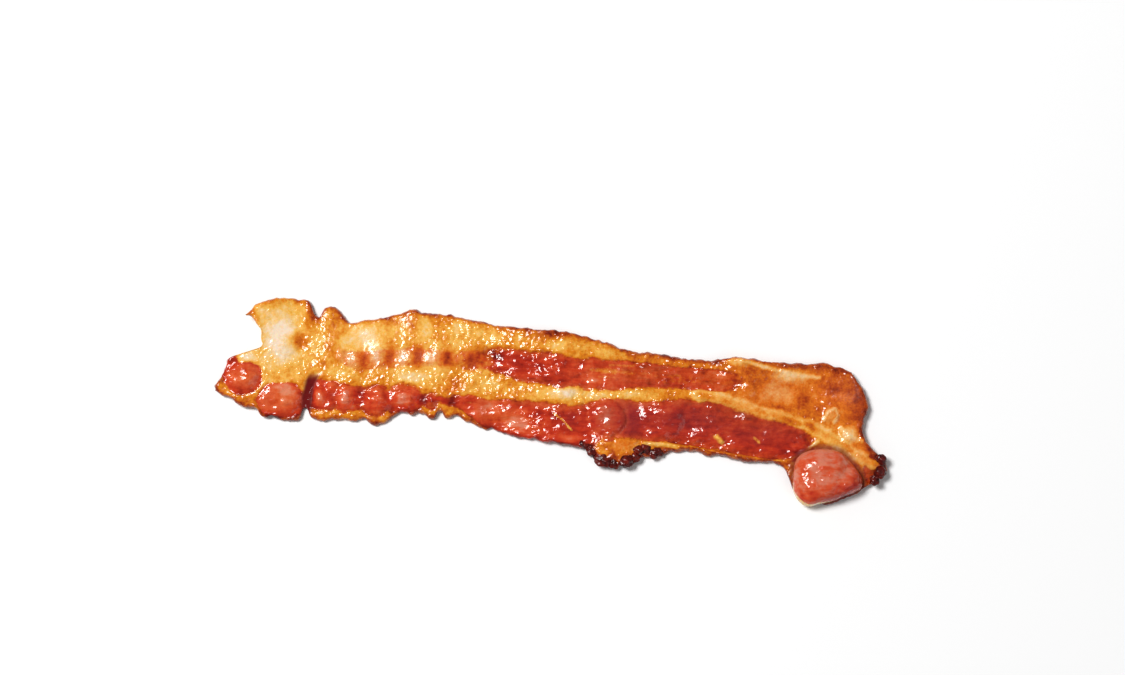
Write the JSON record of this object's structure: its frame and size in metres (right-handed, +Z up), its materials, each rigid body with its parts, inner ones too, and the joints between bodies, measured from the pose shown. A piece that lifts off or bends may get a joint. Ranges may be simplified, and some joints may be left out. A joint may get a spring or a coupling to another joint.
{
  "type": "fried bacon strip",
  "caption": "Wavy fried strip of streaky bacon, fat and lean in bands along it, with crisp browned edges; it rests on the low places of its underside.",
  "frame": {"origin": "middle of the strip's box, on the surface it rests on", "axes": "+Z up; X along the strip, +X towards the end with the swollen lump of lean; +Y towards the fatty edge"},
  "size_m": [0.1986, 0.0614, 0.0082],
  "materials": {
    "fried_bacon": "golden fat and red lean, glossy with grease, browned at the edges"
  },
  "bodies": {
    "root": {"bacon_strip": "fried_bacon"}
  },
  "joints": []
}
